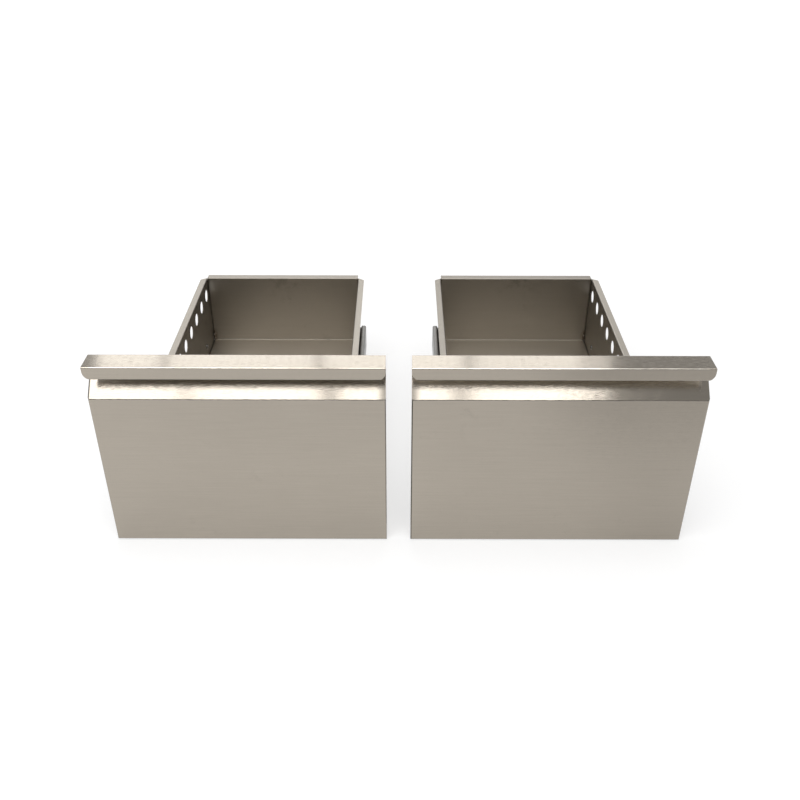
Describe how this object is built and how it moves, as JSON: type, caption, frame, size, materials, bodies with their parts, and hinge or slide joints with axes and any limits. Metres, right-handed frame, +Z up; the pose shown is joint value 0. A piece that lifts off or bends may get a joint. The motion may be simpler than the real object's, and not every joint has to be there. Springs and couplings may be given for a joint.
{
  "type": "outdoor kitchen drawer unit",
  "caption": "Stainless outdoor kitchen drawers side by side, with folded full-width grips, vented boxes and ball-bearing slides.",
  "frame": {"origin": "middle of the unit's bounding box, at its bottom, which is the lower edge of both front panels", "axes": "+X to the right across both fronts, +Y from the fronts to the back, +Z up"},
  "size_m": [0.835, 0.5354, 0.2975],
  "materials": {
    "stainless": "brushed along the width",
    "zinc": "bright zinc plate",
    "cage": "plain stamped strip",
    "screws": "turned stainless",
    "rubber": "matt grey",
    "lever": "moulded black"
  },
  "bodies": {
    "cabinet_rails": {"left_drawer_cabinet_rail_l": "zinc", "left_drawer_cabinet_rail_r": "zinc", "left_drawer_rear_stop_l": "rubber", "left_drawer_rear_stop_r": "rubber", "right_drawer_cabinet_rail_l": "zinc", "right_drawer_cabinet_rail_r": "zinc", "right_drawer_rear_stop_l": "rubber", "right_drawer_rear_stop_r": "rubber"},
    "left_drawer": {"left_drawer_front_skin": "stainless", "left_drawer_front_liner": "stainless", "left_drawer_tray": "stainless", "left_drawer_rubber_pads": "rubber", "left_drawer_wall_l": "stainless", "left_drawer_wall_r": "stainless", "left_drawer_drawer_rail_l": "zinc", "left_drawer_drawer_rail_r": "zinc", "left_drawer_rail_screws_l": "screws", "left_drawer_rail_screws_r": "screws", "left_drawer_lever_rivet_l": "screws", "left_drawer_lever_rivet_r": "screws"},
    "left_drawer_middle_rails": {"left_drawer_middle_rail_l": "zinc", "left_drawer_middle_rail_r": "zinc"},
    "left_drawer_outer_cages": {"left_drawer_outer_cage_l": "cage", "left_drawer_outer_cage_r": "cage"},
    "left_drawer_inner_cages": {"left_drawer_inner_cage_l": "cage", "left_drawer_inner_cage_r": "cage"},
    "left_drawer_lever_l": {"left_drawer_release_lever_l": "lever"},
    "left_drawer_lever_r": {"left_drawer_release_lever_r": "lever"},
    "right_drawer": {"right_drawer_front_skin": "stainless", "right_drawer_front_liner": "stainless", "right_drawer_tray": "stainless", "right_drawer_rubber_pads": "rubber", "right_drawer_wall_l": "stainless", "right_drawer_wall_r": "stainless", "right_drawer_drawer_rail_l": "zinc", "right_drawer_drawer_rail_r": "zinc", "right_drawer_rail_screws_l": "screws", "right_drawer_rail_screws_r": "screws", "right_drawer_lever_rivet_l": "screws", "right_drawer_lever_rivet_r": "screws"},
    "right_drawer_middle_rails": {"right_drawer_middle_rail_l": "zinc", "right_drawer_middle_rail_r": "zinc"},
    "right_drawer_outer_cages": {"right_drawer_outer_cage_l": "cage", "right_drawer_outer_cage_r": "cage"},
    "right_drawer_inner_cages": {"right_drawer_inner_cage_l": "cage", "right_drawer_inner_cage_r": "cage"},
    "right_drawer_lever_l": {"right_drawer_release_lever_l": "lever"},
    "right_drawer_lever_r": {"right_drawer_release_lever_r": "lever"}
  },
  "joints": [
    {"name": "left_drawer_slide", "type": "slide", "parent": "cabinet_rails", "child": "left_drawer", "axis": [0, -1, 0], "range_m": [0, 0.457]},
    {"name": "left_drawer_middle_rails_slide", "type": "slide", "parent": "cabinet_rails", "child": "left_drawer_middle_rails", "axis": [0, -1, 0], "range_m": [0, 0.2286]},
    {"name": "left_drawer_outer_cages_slide", "type": "slide", "parent": "cabinet_rails", "child": "left_drawer_outer_cages", "axis": [0, -1, 0], "range_m": [0, 0.11435]},
    {"name": "left_drawer_inner_cages_slide", "type": "slide", "parent": "cabinet_rails", "child": "left_drawer_inner_cages", "axis": [0, -1, 0], "range_m": [0, 0.34285]},
    {"name": "left_drawer_lever_l_tilt", "type": "hinge", "parent": "left_drawer", "child": "left_drawer_lever_l", "pos_m": [-0.3652, -0.16275, 0.072], "axis": [1, 0, 0], "range_deg": [0, 6], "stiffness_Nm_per_rad": 0.05},
    {"name": "left_drawer_lever_r_tilt", "type": "hinge", "parent": "left_drawer", "child": "left_drawer_lever_r", "pos_m": [-0.0698, -0.16275, 0.072], "axis": [1, 0, 0], "range_deg": [-6, 0], "stiffness_Nm_per_rad": 0.05},
    {"name": "right_drawer_slide", "type": "slide", "parent": "cabinet_rails", "child": "right_drawer", "axis": [0, -1, 0], "range_m": [0, 0.457]},
    {"name": "right_drawer_middle_rails_slide", "type": "slide", "parent": "cabinet_rails", "child": "right_drawer_middle_rails", "axis": [0, -1, 0], "range_m": [0, 0.2286]},
    {"name": "right_drawer_outer_cages_slide", "type": "slide", "parent": "cabinet_rails", "child": "right_drawer_outer_cages", "axis": [0, -1, 0], "range_m": [0, 0.11435]},
    {"name": "right_drawer_inner_cages_slide", "type": "slide", "parent": "cabinet_rails", "child": "right_drawer_inner_cages", "axis": [0, -1, 0], "range_m": [0, 0.34285]},
    {"name": "right_drawer_lever_l_tilt", "type": "hinge", "parent": "right_drawer", "child": "right_drawer_lever_l", "pos_m": [0.0698, -0.16275, 0.072], "axis": [1, 0, 0], "range_deg": [0, 6], "stiffness_Nm_per_rad": 0.05},
    {"name": "right_drawer_lever_r_tilt", "type": "hinge", "parent": "right_drawer", "child": "right_drawer_lever_r", "pos_m": [0.3652, -0.16275, 0.072], "axis": [1, 0, 0], "range_deg": [-6, 0], "stiffness_Nm_per_rad": 0.05}
  ],
  "couplings": [
    {"joint": "left_drawer_middle_rails_slide", "follows": "left_drawer_slide", "ratio": 0.5},
    {"joint": "left_drawer_outer_cages_slide", "follows": "left_drawer_slide", "ratio": 0.25},
    {"joint": "left_drawer_inner_cages_slide", "follows": "left_drawer_slide", "ratio": 0.75},
    {"joint": "right_drawer_middle_rails_slide", "follows": "right_drawer_slide", "ratio": 0.5},
    {"joint": "right_drawer_outer_cages_slide", "follows": "right_drawer_slide", "ratio": 0.25},
    {"joint": "right_drawer_inner_cages_slide", "follows": "right_drawer_slide", "ratio": 0.75}
  ]
}
